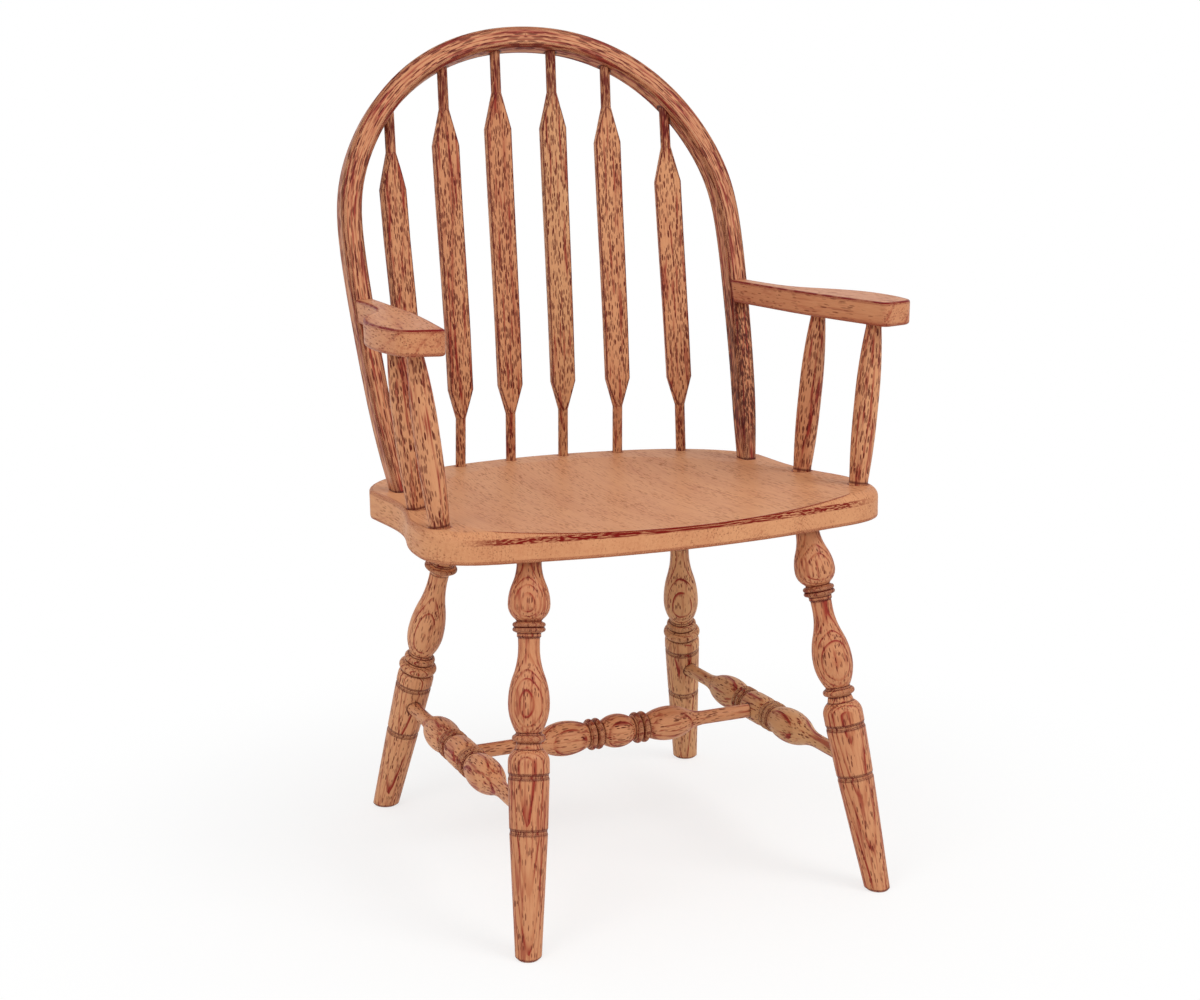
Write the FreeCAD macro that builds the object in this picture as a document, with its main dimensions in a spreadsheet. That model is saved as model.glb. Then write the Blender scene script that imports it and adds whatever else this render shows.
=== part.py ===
import FreeCAD, Part
import math
import os

import Sketcher

# A bow-back Windsor armchair in oak: a dished plank seat on four turned legs with an H of
# stretchers, a bent bow with six arrow spindles, and two flat arms on turned posts.
# Millimetres. +Z is up, the front of the seat faces -Y, and the feet stand on Z = 0.
# Left and right are those of a viewer who stands in front of the chair: right is +X.

doc = FreeCAD.newDocument("bow_back_armchair")
sheet = doc.addObject("Spreadsheet::Sheet", "sizes")
pieces = {}
# Two places that lie nearer than this are the same place.
same_place = 0.001


class Size:
    """A size, held as the text of an expression on the sheet and as its present value."""

    def __init__(self, text, value):
        self.text = text
        self.value = value

    def __add__(self, other):
        other = as_size(other)
        return Size(f"({self.text} + {other.text})", self.value + other.value)

    def __sub__(self, other):
        other = as_size(other)
        return Size(f"({self.text} - {other.text})", self.value - other.value)

    def __mul__(self, other):
        other = as_size(other)
        return Size(f"{self.text} * {other.text}", self.value * other.value)

    def __truediv__(self, other):
        other = as_size(other)
        return Size(f"{self.text} / ({other.text})", self.value / other.value)

    def __neg__(self):
        return Size(f"(0 - {self.text})", -self.value)


def as_size(number):
    """A plain share becomes a size whose text is the number itself."""
    return number if isinstance(number, Size) else Size(f"({number!r})", number)


def root(square):
    return Size(f"sqrt({square.text})", math.sqrt(square.value))


def sine(angle):
    return Size(f"sin({angle.text})", math.sin(math.radians(angle.value)))


def cosine(angle):
    return Size(f"cos({angle.text})", math.cos(math.radians(angle.value)))


def tangent(angle):
    return Size(f"tan({angle.text})", math.tan(math.radians(angle.value)))


def write_row(alias, content, meaning):
    """One row of the sheet: a name, the content and what it is."""
    write_row.count += 1
    sheet.set(f"A{write_row.count}", alias)
    sheet.set(f"B{write_row.count}", content)
    sheet.set(f"C{write_row.count}", meaning)
    sheet.setAlias(f"B{write_row.count}", alias)


write_row.count = 0


def size(alias, value, meaning):
    """A driving dimension."""
    write_row(alias, str(value), meaning)
    return Size(f"sizes.{alias}", value)


def derived(alias, source, meaning):
    """A size that the sheet works out from the others."""
    write_row(alias, "=" + source.text.replace("sizes.", ""), meaning)
    return Size(f"sizes.{alias}", source.value)


# How closely the pieces fit.
fit_gap = size("fit_gap", 0.15, "play around a tenon in its socket, all round")
socket_floor_gap = size("socket_floor_gap", 0.3, "space left under the end of a tenon")
cut_overrun = size("cut_overrun", 30, "how far a cutting tool stands out of the wood")

# The seat: a plank with a flat underside, widest at the front and drawn in at the waist.
seat_top = size("seat_top", 450, "height of the flat rim of the seat")
seat_thickness = size("seat_thickness", 35, "plank thickness")
seat_half_width = size("seat_half_width", 281, "half of the widest part, near the front")
seat_back_depth = size("seat_back_depth", 246, "from the origin back to the middle of the rear edge")
seat_front_depth = size("seat_front_depth", 216, "from the origin forward to the middle of the front edge")
seat_edge_round = size("seat_edge_round", 3.5, "rounding of the upper and lower edges")
seat_front_roll = size("seat_front_roll", 12.5, "rounding of the upper front edge, under the knees")
seat_corner_round = size("seat_corner_round", 4, "rounding of the two rear corners in plan")
dish_depth = size("dish_depth", 13, "deepest part of the saddle")
dish_half_width = size("dish_half_width", 243, "half width of the saddle at its rim")
dish_half_length = size("dish_half_length", 265, "half length of the saddle at its rim")
dish_forward = size("dish_forward", 65, "middle of the saddle, forward of the origin")

# The legs, turned and splayed. Each leans from its foot to its socket in the seat.
leg_diameter = size("leg_diameter", 46, "thickest turning of a leg")
leg_tenon_diameter = size("leg_tenon_diameter", 27, "neck and tenon at the seat")
leg_tenon_length = size("leg_tenon_length", 24, "tenon in the seat, along the leg")
foot_chamfer = size("foot_chamfer", 2.5, "bevel round the sole of a foot")
front_foot_x = size("front_foot_x", 216.5, "front foot to the middle plane")
front_foot_y = size("front_foot_y", -252, "front foot, forward is negative")
front_top_x = size("front_top_x", 170.6, "front leg at the underside of the seat")
front_top_y = size("front_top_y", -165, "front leg at the underside of the seat")
rear_foot_x = size("rear_foot_x", 222.3, "rear foot to the middle plane")
rear_foot_y = size("rear_foot_y", 244, "rear foot")
rear_top_x = size("rear_top_x", 153.3, "rear leg at the underside of the seat")
rear_top_y = size("rear_top_y", 125, "rear leg at the underside of the seat")

# The stretchers, an H between the legs.
stretcher_height = size("stretcher_height", 147, "axis of the stretchers above the floor")
side_bulb_diameter = size("side_bulb_diameter", 41, "thickest turning of a side stretcher")
cross_bulb_diameter = size("cross_bulb_diameter", 42, "thickest turning of the cross stretcher")
stretcher_tenon_diameter = size("stretcher_tenon_diameter", 17, "tenon of a stretcher")
stretcher_end_gap = size("stretcher_end_gap", 7, "end of a stretcher short of the axis it points at")

# The bow: a bent strip in one raked plane, thinned at its feet to round tenons.
bow_half_width = size("bow_half_width", 255.5, "centre line, half of its widest part")
bow_rise = size("bow_rise", 558, "centre line above the seat, measured up the rake")
bow_rake_angle = size("bow_rake_angle", 16.6, "lean of the bow's plane, in degrees")
bow_seat_y = size("bow_seat_y", 91, "centre of the bow at the top of the seat")
bow_thickness = size("bow_thickness", 27, "bow in its own plane")
bow_depth = size("bow_depth", 28, "bow from front to back")
bow_edge_round = size("bow_edge_round", 5, "rounding of the bow's long edges")
bow_tenon_diameter = size("bow_tenon_diameter", 14, "round tenon in the seat")
bow_tenon_length = size("bow_tenon_length", 26, "round tenon in the seat")

# The arrow spindles, round at both ends and flattened between.
spindle_neck_diameter = size("spindle_neck_diameter", 13, "round parts and tenons of a spindle")
spindle_seat_tenon = size("spindle_seat_tenon", 20, "tenon in the seat")
spindle_bow_tenon = size("spindle_bow_tenon", 12, "tenon in the bow")
blade_width = size("blade_width", 35, "blade at its upper shoulder")
blade_thickness = size("blade_thickness", 11.5, "blade from front to back")
blade_bend = size("blade_bend", 12, "bend of a spindle at its lower shoulder")
blade_fan_angle = size("blade_fan_angle", 18, "turn of the outer blades towards the sitter, in degrees")
spindle_inset = size("spindle_inset", 15, "spindle axis in from the rear edge of the seat")
lower_taper = size("lower_taper", 62, "end of a spindle's lower round part, above the seat")
lower_shoulder = size("lower_shoulder", 99, "lower shoulder of a blade, above the seat")
upper_shoulder = size("upper_shoulder", 95, "upper shoulder of a blade, below the bow")
upper_taper = size("upper_taper", 50, "end of a spindle's upper round part, below the bow")

# The arms, flat boards that slope down to the front, on two posts each.
arm_top_height = size("arm_top_height", 671, "top of an arm above the floor, at the origin")
arm_slope_angle = size("arm_slope_angle", 1.9, "slope of an arm, in degrees")
arm_thickness = size("arm_thickness", 28, "board thickness")
arm_length_front = size("arm_length_front", 181, "front end of an arm, forward of the origin")
arm_reach = size("arm_reach", 64.3, "outer edge of an arm at its widest, out from the middle of the bow")
arm_edge_round = size("arm_edge_round", 3, "rounding of an arm's edges")
arm_inner_round = size("arm_inner_round", 8, "inner front corner of an arm in plan")
arm_outer_round = size("arm_outer_round", 24, "outer front corner of an arm in plan")
post_diameter = size("post_diameter", 28, "thickest turning of an arm post")
post_foot_diameter = size("post_foot_diameter", 22, "arm post at the seat")
post_end_diameter = size("post_end_diameter", 18, "arm post at the arm")
post_tenon_length = size("post_tenon_length", 18, "tenons of an arm post")
front_post_seat_x = size("front_post_seat_x", 259.7, "front post at the seat")
front_post_seat_y = size("front_post_seat_y", -133, "front post at the seat")
front_post_arm_x = size("front_post_arm_x", 280, "front post at the arm")
front_post_arm_y = size("front_post_arm_y", -130, "front post at the arm")
rear_post_seat_x = size("rear_post_seat_x", 249.5, "rear post at the seat")
rear_post_seat_y = size("rear_post_seat_y", -23, "rear post at the seat")
rear_post_arm_x = size("rear_post_arm_x", 269.5, "rear post at the arm")
rear_post_arm_y = size("rear_post_arm_y", -25, "rear post at the arm")

# The screw that holds each arm to the bow from behind, and the plug that hides its head.
screw_head_diameter = size("screw_head_diameter", 9, "countersunk head")
screw_shank_diameter = size("screw_shank_diameter", 4.5, "plain shank")
screw_core_diameter = size("screw_core_diameter", 3.4, "core under the thread")
screw_length = size("screw_length", 50, "whole screw")
plug_diameter = size("plug_diameter", 10, "wooden plug")
plug_length = size("plug_length", 7, "wooden plug")

seat_bottom = derived("seat_bottom", seat_top - seat_thickness, "height of the underside of the seat")
arm_under_height = derived("arm_under_height", arm_top_height - arm_thickness,
                           "underside of an arm above the floor, at the origin")
doc.recompute()


def vector(x, y, z=0.0):
    return FreeCAD.Vector(x, y, z)


def difference(end, start):
    return tuple(one - other for one, other in zip(end, start))


def norm(step):
    return root(step[0] * step[0] + step[1] * step[1] + step[2] * step[2])


def between(start, end, share):
    return tuple(one + (other - one) * share for one, other in zip(start, end))


def toward(start, end, distance):
    """The point at a distance from start, on the way to end."""
    step = difference(end, start)
    length = norm(step)
    return tuple(place + part * distance / length for place, part in zip(start, step))


def place_along(target, start, end, turn=None, forward=None, along=None):
    """Puts a piece's own origin at start, with its own +Z pointing at end.

    It can be turned about that line, and then moved forward and along it.
    """
    step = difference(end, start)
    across = root(step[0] * step[0] + step[1] * step[1])
    axis = f"vector({(-step[1]).text}; {step[0].text}; 0)"
    base = f"vector({start[0].text}; {start[1].text}; {start[2].text})"
    place = f"placement({base}; rotation({axis}; atan2({across.text}; {step[2].text})))"
    if turn is not None:
        place += f" * placement(vector(0; 0; 0); rotation(vector(0; 0; 1); {turn.text}))"
    if along is not None:
        place += f" * placement(vector(0; {(-forward).text}; {along.text}); rotation(vector(0; 0; 1); 0))"
    target.setExpression("Placement", place)


def bore(name, start, end, diameter):
    """A round cutting tool from one point to another."""
    tool = doc.addObject("Part::Cylinder", name)
    tool.setExpression("Radius", (diameter / 2).text)
    tool.setExpression("Height", norm(difference(end, start)).text)
    place_along(tool, start, end)
    return tool


def place_leaning(target, base, lean):
    """Puts a piece's own origin at base and tips it about X, backwards for a positive lean."""
    corner = f"vector({base[0].text}; {base[1].text}; {base[2].text})"
    target.setExpression("Placement", f"placement({corner}; rotation(vector(1; 0; 0); {(-lean).text}))")


def block(name, low, extent, lean):
    """A cutting block from its low corner."""
    tool = doc.addObject("Part::Box", name)
    for side, length in zip(("Length", "Width", "Height"), extent):
        tool.setExpression(side, length.text)
    place_leaning(tool, low, lean)
    return tool


def cut(name, base, tools):
    """The base less its cutting tools."""
    tool = tools[0]
    if len(tools) > 1:
        tool = doc.addObject("Part::MultiFuse", name + "_tools")
        tool.Shapes = tools
    result = doc.addObject("Part::Cut", name)
    result.Base = base
    result.Tool = tool
    return result


def fuse(name, shapes):
    result = doc.addObject("Part::MultiFuse", name)
    result.Shapes = shapes
    return result


def mirrored(name, source):
    """The same piece for the other side of the chair."""
    result = doc.addObject("Part::Mirroring", name)
    result.Source = source
    result.Base = vector(0, 0)
    result.Normal = vector(1, 0)
    return result


def keep(node, piece):
    """A finished piece, under the name of its node."""
    piece.Label = node
    pieces[node] = piece


def keep_pair(node, piece):
    """A piece of the right side and its mirror image on the left."""
    keep(node + "_right", piece)
    keep(node + "_left", mirrored(node + "_mirror", piece))


def new_sketch(body, name, role):
    sketch = body.newObject("Sketcher::SketchObject", name)
    plane = next(part for part in body.Origin.OriginFeatures if part.Role == role)
    sketch.AttachmentSupport = [(plane, "")]
    sketch.MapMode = "FlatFace"
    return sketch


def arc_about(centre, radius, first, last):
    """An arc that turns anticlockwise, and whether it runs from first to last that way."""
    begin = math.atan2(first[1] - centre[1], first[0] - centre[0])
    finish = math.atan2(last[1] - centre[1], last[0] - centre[0])
    forward = (finish - begin) % math.tau < math.pi
    if not forward:
        begin, finish = finish, begin
    circle = Part.Circle(vector(*centre), vector(0, 0, 1), radius)
    return Part.ArcOfCircle(circle, begin, finish), forward


def outline_edge(first, last, kind):
    """One edge of a turner's outline, with its radius where it is an arc.

    A line is straight. An arc that is flat at one end runs along the turning axis there. A bead
    bulges out and a cove is hollowed, both by a share of their chord.
    """
    start = (first[0].value, first[1].value)
    finish = (last[0].value, last[1].value)
    if kind == "line":
        return Part.LineSegment(vector(*start), vector(*finish)), True, None
    step = (last[0] - first[0], last[1] - first[1])
    square = step[0] * step[0] + step[1] * step[1]
    if kind in bulge_shares:
        bulge = bulge_shares[kind]
        chord = root(square)
        radius = chord * (1 / (8 * abs(bulge)) + abs(bulge) / 2)
        away = math.copysign(radius.value - abs(bulge) * chord.value, bulge) / chord.value
        centre = ((start[0] + finish[0]) / 2 - step[1].value * away,
                  (start[1] + finish[1]) / 2 + step[0].value * away)
    else:
        radius = Size(f"({square.text}) / (2 * abs({step[0].text}))",
                      square.value / (2 * abs(step[0].value)))
        reach = math.copysign(radius.value, step[0].value)
        centre = (start[0] + reach, start[1]) if kind == "flat_start" else (finish[0] - reach, finish[1])
    arc, forward = arc_about(centre, radius.value, start, finish)
    return arc, forward, radius


bulge_shares = {"bead": 0.42, "cove": -0.3}


def turned_stations(length, radius, shares):
    """Stations in real sizes from a table of height share, radius share and edge kind.

    A sweep is an S from one flat to the next, so it gets a station halfway.
    """
    stations = []
    for height_share, radius_share, kind in shares:
        height = length * height_share
        reach = radius_share if isinstance(radius_share, Size) else radius * radius_share
        if kind == "sweep":
            last_reach, last_height, _ = stations[-1]
            stations.append(((last_reach + reach) / 2, (last_height + height) / 2, "flat_start"))
            kind = "flat_end"
        stations.append((reach, height, kind))
    return stations


def turned(name, stations):
    """A solid turned about its own +Z axis from an outline of radius and height.

    The edge that reaches a station has the station's kind.
    """
    body = doc.addObject("PartDesign::Body", name)
    sketch = new_sketch(body, name + "_outline", "XZ_Plane")
    edges = []
    marks = []
    bottom = stations[0][1]
    top = stations[-1][1]
    corners = [(Size("0", 0.0), bottom)] + [(reach, height) for reach, height, _ in stations]
    corners.append((Size("0", 0.0), top))
    kinds = ["line"] + [kind for _, _, kind in stations[1:]] + ["line", "line"]
    for index, kind in enumerate(kinds):
        first = corners[index]
        last = corners[(index + 1) % len(corners)]
        edge, forward, radius = outline_edge(first, last, kind)
        edges.append(edge)
        marks.append((1, 2, radius) if forward else (2, 1, radius))
    sketch.addGeometry(edges, False)
    rules = []
    bound = []
    for index, (begin, finish, radius) in enumerate(marks):
        following = (index + 1) % len(marks)
        rules.append(Sketcher.Constraint("Coincident", index, finish, following, marks[following][0]))
    for index, (begin, _, radius) in enumerate(marks):
        reach, height = corners[index]
        if reach.value == 0.0:
            rules.append(Sketcher.Constraint("PointOnObject", index, begin, -2))
        else:
            bound.append((len(rules), reach))
            rules.append(Sketcher.Constraint("DistanceX", -1, 1, index, begin, reach.value))
        if height.value == 0.0:
            rules.append(Sketcher.Constraint("PointOnObject", index, begin, -1))
        else:
            bound.append((len(rules), height))
            rules.append(Sketcher.Constraint("DistanceY", -1, 1, index, begin, height.value))
        if radius is not None:
            bound.append((len(rules), radius))
            rules.append(Sketcher.Constraint("Radius", index, radius.value))
    sketch.addConstraint(rules)
    for index, length in bound:
        sketch.setExpression(f"Constraints[{index}]", length.text)
    turning = body.newObject("PartDesign::Revolution", name + "_turning")
    turning.Profile = sketch
    turning.ReferenceAxis = (sketch, ["V_Axis"])
    turning.Angle = 360
    return body


def smooth_curve(points):
    """A curve through points of a plane."""
    curve = Part.BSplineCurve()
    curve.interpolate([vector(*point) for point in points])
    return curve


def both_sides(points):
    """A half outline that starts on the middle plane, continued to the other side."""
    return [(-x, y) for x, y in reversed(points[1:])] + points


def padded(name, role, edges, thickness, middle=False):
    """A body raised from a closed outline."""
    body = doc.addObject("PartDesign::Body", name)
    sketch = new_sketch(body, name + "_outline", role)
    sketch.addGeometry(edges, False)
    rules = [Sketcher.Constraint("Coincident", index, 2, (index + 1) % len(edges), 1)
             for index in range(len(edges))]
    sketch.addConstraint(rules)
    pad = body.newObject("PartDesign::Pad", name + "_board")
    pad.Profile = sketch
    pad.Midplane = middle
    pad.setExpression("Length", thickness.text)
    doc.recompute()
    return body, pad


def round_edges(body, base, name, radius, chosen):
    """Rounds the edges of the last feature that a test picks out."""
    names = [f"Edge{number + 1}" for number, edge in enumerate(base.Shape.Edges) if chosen(edge)]
    fillet = body.newObject("PartDesign::Fillet", name)
    fillet.Base = (base, names)
    fillet.setExpression("Radius", radius.text)
    body.Tip = fillet
    doc.recompute()
    return fillet


def lies_level(edge, height):
    box = edge.BoundBox
    return abs(box.ZMin - height) < same_place and abs(box.ZMax - height) < same_place


def stands_upright(edge):
    box = edge.BoundBox
    return box.XLength < same_place and box.YLength < same_place


def on_curve(curve, axis, target):
    """The point of a curve where one coordinate has a value, found by halving."""
    low = curve.FirstParameter
    high = curve.LastParameter
    rising = curve.value(high)[axis] > curve.value(low)[axis]
    for _ in range(60):
        middle = (low + high) / 2
        if (curve.value(middle)[axis] < target) == rising:
            low = middle
        else:
            high = middle
    return curve.value((low + high) / 2)


# The seat. Its rear edge is one curve between the two rear corners, and its sides and front are
# another: in at the waist, out to the front corners and almost straight across the front.
seat_rear_shares = [(0.0, 1.0), (0.22, 0.984), (0.44, 0.937), (0.62, 0.868), (0.78, 0.755), (0.885, 0.62),
                    (0.945, 0.44)]
seat_side_shares = [(0.945, -0.44), (0.931, -0.25), (0.929, -0.05), (0.95, 0.14), (0.986, 0.33),
                    (1.0, 0.52), (0.99, 0.655), (0.94, 0.77), (0.85, 0.845), (0.68, 0.9), (0.45, 0.955),
                    (0.22, 0.989), (0.0, 1.0)]


def seat_points():
    """Half outlines of the rear edge and of the side and front, from the corner onwards."""
    width = seat_half_width.value
    back = seat_back_depth.value
    front = seat_front_depth.value
    rear = [(width * across, back * along) for across, along in seat_rear_shares]
    side = [rear[-1]]
    side += [(width * across, -front * along) for across, along in seat_side_shares[1:]]
    return rear, side


def split_curve(curve, points):
    """A curve in pieces, divided at points that lie on it."""
    marks = [curve.FirstParameter] + [curve.parameter(vector(*point)) for point in points]
    marks.append(curve.LastParameter)
    parts = []
    for begin, finish in zip(marks, marks[1:]):
        part = curve.copy()
        part.segment(begin, finish)
        parts.append(part)
    return parts


rear_half, side_half = seat_points()
rear_edge = smooth_curve(both_sides(rear_half))
rear_half_curve = smooth_curve(rear_half)
side_edge = smooth_curve(side_half[:-1] + [(-x, y) for x, y in reversed(side_half)])
# The roll of the front edge runs from one front corner to the other, and fades into the plain
# rounding of the sides over the two pieces of edge behind them.
roll_ends = (side_half[4], side_half[8])
roll_marks = [*roll_ends] + [(-x, y) for x, y in reversed(roll_ends)]
seat_body, seat_board = padded("seat_plank", "XY_Plane", [rear_edge, *split_curve(side_edge, roll_marks)],
                               seat_thickness)
round_edges(seat_body, seat_board, "seat_corners", seat_corner_round, stands_upright)


def roll_radius(point):
    """The rounding of the upper edge at one of its corners in plan."""
    rolled = point.y < roll_ends[1][1] + same_place
    return seat_front_roll.value if rolled else seat_edge_round.value


seat_round = doc.addObject("Part::Fillet", "seat_rounded")
seat_round.Base = seat_body
rounded_edges = []
for number, edge in enumerate(seat_body.Shape.Edges):
    if lies_level(edge, 0.0):
        rounded_edges.append((number + 1, seat_edge_round.value, seat_edge_round.value))
    if lies_level(edge, seat_thickness.value):
        rounded_edges.append((number + 1, roll_radius(edge.valueAt(edge.FirstParameter)),
                              roll_radius(edge.valueAt(edge.LastParameter))))
seat_round.Edges = rounded_edges
seat_round.setExpression("Placement.Base.z", seat_bottom.text)

# The saddle is the cap of a large flattened ball, and the share is the cap's part of its radius.
dish_cap_share = 0.05
dish_rim_share = math.sqrt(2 * dish_cap_share - dish_cap_share ** 2)
dish = doc.addObject("Part::Ellipsoid", "seat_dish")
dish.setExpression("Radius1", (dish_depth / dish_cap_share).text)
dish.setExpression("Radius2", (dish_half_width / dish_rim_share).text)
dish.setExpression("Radius3", (dish_half_length / dish_rim_share).text)
dish.Angle1 = -90
dish.Angle2 = 90
dish.Angle3 = 360
dish_centre_height = seat_top + dish_depth * (1 / dish_cap_share - 1)
dish.setExpression("Placement.Base.y", (-dish_forward).text)
dish.setExpression("Placement.Base.z", dish_centre_height.text)
seat_tools = [dish]

# The legs. A front leg and a rear leg have the same vases, beads and grooves at slightly different
# heights. Shares run from the foot up to the seat.
leg_neck = leg_tenon_diameter / 2
front_leg_shares = [
    (0.0, 0.62, "line"), (0.1, 0.71, "line"), (0.307, 0.9, "line"), (0.311, 0.875, "line"),
    (0.317, 0.875, "line"), (0.321, 0.91, "line"), (0.445, 0.975, "line"), (0.449, 0.945, "line"),
    (0.455, 0.945, "line"), (0.459, 0.98, "line"), (0.486, 0.98, "line"), (0.518, 0.66, "flat_start"),
    (0.534, 0.58, "line"), (0.537, 0.66, "line"), (0.554, 0.66, "bead"), (0.559, 0.6, "line"),
    (0.632, 0.98, "flat_end"), (0.772, 0.51, "sweep"), (0.796, 0.52, "line"), (0.799, 0.57, "line"),
    (0.808, 0.57, "line"), (0.811, 0.68, "line"), (0.823, 0.69, "bead"), (0.835, 0.68, "bead"),
    (0.838, 0.59, "line"), (0.843, 0.66, "line"), (0.88, 1.0, "flat_end"), (0.985, leg_neck, "sweep")]
rear_leg_shares = [
    (0.0, 0.72, "line"), (0.1, 0.79, "line"), (0.26, 0.9, "line"), (0.264, 0.87, "line"),
    (0.27, 0.87, "line"), (0.274, 0.91, "line"), (0.418, 1.0, "line"), (0.422, 0.97, "line"),
    (0.428, 0.97, "line"), (0.432, 1.01, "line"), (0.453, 1.01, "line"), (0.468, 0.92, "flat_start"),
    (0.472, 0.84, "line"), (0.498, 0.86, "bead"), (0.503, 0.7, "line"), (0.524, 0.68, "bead"),
    (0.53, 0.63, "line"), (0.6, 1.0, "flat_end"), (0.775, 0.53, "sweep"), (0.793, 0.54, "line"),
    (0.803, 0.68, "line"), (0.806, 0.8, "line"), (0.82, 0.8, "bead"), (0.823, 0.66, "line"),
    (0.828, 0.6, "line"), (0.834, 0.66, "line"), (0.88, 0.98, "flat_end"), (0.985, leg_neck, "sweep")]


def leg_solid(name, foot, top, shares):
    """A turned leg whose outline starts below the floor, so that its sole can be cut level."""
    length = norm(difference(top, foot))
    radius = leg_diameter / 2
    below = (radius * shares[0][1], -cut_overrun, "line")
    stations = [below] + turned_stations(length, radius, shares)
    stations.append((leg_neck, length + leg_tenon_length, "line"))
    body = turned(name, stations)
    place_along(body, foot, top)
    return body


floor = Size("0", 0.0)
front_foot = (front_foot_x, front_foot_y, floor)
front_top = (front_top_x, front_top_y, seat_bottom)
rear_foot = (rear_foot_x, rear_foot_y, floor)
rear_top = (rear_top_x, rear_top_y, seat_bottom)
# The stretchers point at the axes of the legs and end short of them. Their turning is the same
# from both ends, so a table runs only to the middle. The plain stub is the tenon.
height_share = stretcher_height / seat_bottom
front_joint = between(front_foot, front_top, height_share)
rear_joint = between(rear_foot, rear_top, height_share)
side_middle = between(rear_joint, front_joint, 0.5)
opposite_middle = (-side_middle[0], side_middle[1], side_middle[2])
stub_radius = stretcher_tenon_diameter / 2
side_stretcher_shares = [
    (0.17, stub_radius, "line"), (0.325, 1.0, "sweep"), (0.399, 0.71, "flat_start"),
    (0.402, 0.79, "line"), (0.417, 0.8, "bead"), (0.42, 0.72, "line"), (0.423, 0.8, "line"),
    (0.438, 0.79, "bead"), (0.442, 0.7, "line"), (0.474, 0.92, "flat_end"), (0.5, 0.92, "line")]
cross_stretcher_shares = [
    (0.2, stub_radius, "line"), (0.325, 1.0, "sweep"), (0.4, 0.66, "flat_start"),
    (0.403, 0.77, "line"), (0.42, 0.78, "bead"), (0.423, 0.68, "line"), (0.426, 0.78, "line"),
    (0.443, 0.77, "bead"), (0.448, 0.64, "line"), (0.5, 0.98, "flat_end")]


def both_ends(shares):
    """A table that runs to the middle, continued to the other end."""
    swapped = {"flat_start": "flat_end", "flat_end": "flat_start"}
    back = []
    for index in range(len(shares) - 2, -1, -1):
        along, reach, _ = shares[index]
        kind = shares[index + 1][2]
        back.append((1 - along, reach, swapped.get(kind, kind)))
    return shares + back


def stretcher_solid(name, start, end, diameter, shares):
    """A turned stretcher between two axes."""
    length = norm(difference(end, start))
    stations = turned_stations(length, diameter / 2, both_ends(shares))
    stations.insert(0, (stub_radius, stretcher_end_gap, "line"))
    stations.append((stub_radius, length - stretcher_end_gap, "line"))
    body = turned(name, stations)
    place_along(body, start, end)
    return body


def mortise(name, start, end):
    """The hole that the end of a stretcher fills, out through the surface of the piece at start."""
    inside = toward(start, end, stretcher_end_gap - socket_floor_gap)
    outside = toward(start, end, leg_diameter)
    return bore(name, inside, outside, stretcher_tenon_diameter + fit_gap * 2)


side_body = stretcher_solid("side_stretcher_turning", rear_joint, front_joint, side_bulb_diameter,
                            side_stretcher_shares)
keep_pair("side_stretcher", cut("side_stretcher_mortised", side_body,
                                [mortise("cross_mortise", side_middle, opposite_middle)]))
keep("cross_stretcher", stretcher_solid("cross_stretcher_turning", opposite_middle, side_middle,
                                        cross_bulb_diameter, cross_stretcher_shares))

ground_reach = leg_diameter * 4
for place, foot, top, joint, other, shares in (
        ("front", front_foot, front_top, front_joint, rear_joint, front_leg_shares),
        ("rear", rear_foot, rear_top, rear_joint, front_joint, rear_leg_shares)):
    ground = block(f"ground_{place}",
                   (foot[0] - ground_reach / 2, foot[1] - ground_reach / 2, -ground_reach),
                   (ground_reach, ground_reach, ground_reach), floor)
    sawn = cut(f"leg_{place}_sawn", leg_solid(f"leg_{place}_turning", foot, top, shares),
               [ground, mortise(f"side_mortise_{place}", joint, other)])
    doc.recompute()
    soles = [number + 1 for number, edge in enumerate(sawn.Shape.Edges) if lies_level(edge, 0.0)]
    leg = doc.addObject("Part::Chamfer", f"leg_{place}_bevelled")
    leg.Base = sawn
    leg.Edges = [(number, foot_chamfer.value, foot_chamfer.value) for number in soles]
    keep_pair(f"leg_{place}", leg)
    seat_tools.append(bore(f"seat_socket_{place}_right", toward(top, foot, leg_diameter),
                           toward(top, foot, -(leg_tenon_length + socket_floor_gap)),
                           leg_tenon_diameter + fit_gap * 2))

# The bow. Its centre line is given for one side in its own plane, across and up the rake, with
# its thickness beside it. The line starts below the seat, where the feet are cut off level.
bow_line_shares = [(0.907, -0.05), (0.92, 0.0), (0.942, 0.093), (0.965, 0.205), (0.986, 0.354), (1.0, 0.52),
                   (0.978, 0.655), (0.882, 0.768), (0.724, 0.866), (0.513, 0.941), (0.265, 0.986),
                   (0.0, 1.0)]
bow_thickness_shares = [0.52, 0.6, 0.8, 0.88, 0.93, 0.96, 0.98, 1.0, 1.0, 1.0, 1.0, 1.0]
bow_base = (floor, bow_seat_y, seat_top)


def bow_point(across, forward, up):
    """A point given in the bow's own frame: across, forward of its middle plane, and up the rake."""
    return (across,
            bow_seat_y - forward * cosine(bow_rake_angle) + up * sine(bow_rake_angle),
            seat_top + forward * sine(bow_rake_angle) + up * cosine(bow_rake_angle))


half_line = [(across * bow_half_width.value, up * bow_rise.value) for across, up in bow_line_shares]
half_line.reverse()
bow_line = smooth_curve(both_sides(half_line))
bow_half_line = bow_line.copy()
bow_half_line.segment(bow_line.parameter(vector(*half_line[0])), bow_line.LastParameter)


def bow_edge(side):
    """The outer or the inner outline of the bow, half a thickness from the centre line."""
    thicknesses = list(reversed(bow_thickness_shares))
    points = []
    for (across, up), share in zip(half_line, thicknesses):
        along = bow_line.tangent(bow_line.parameter(vector(across, up)))[0]
        reach = side * share * bow_thickness.value / 2
        points.append((across - along.y * reach, up + along.x * reach))
    return both_sides(points)


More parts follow.
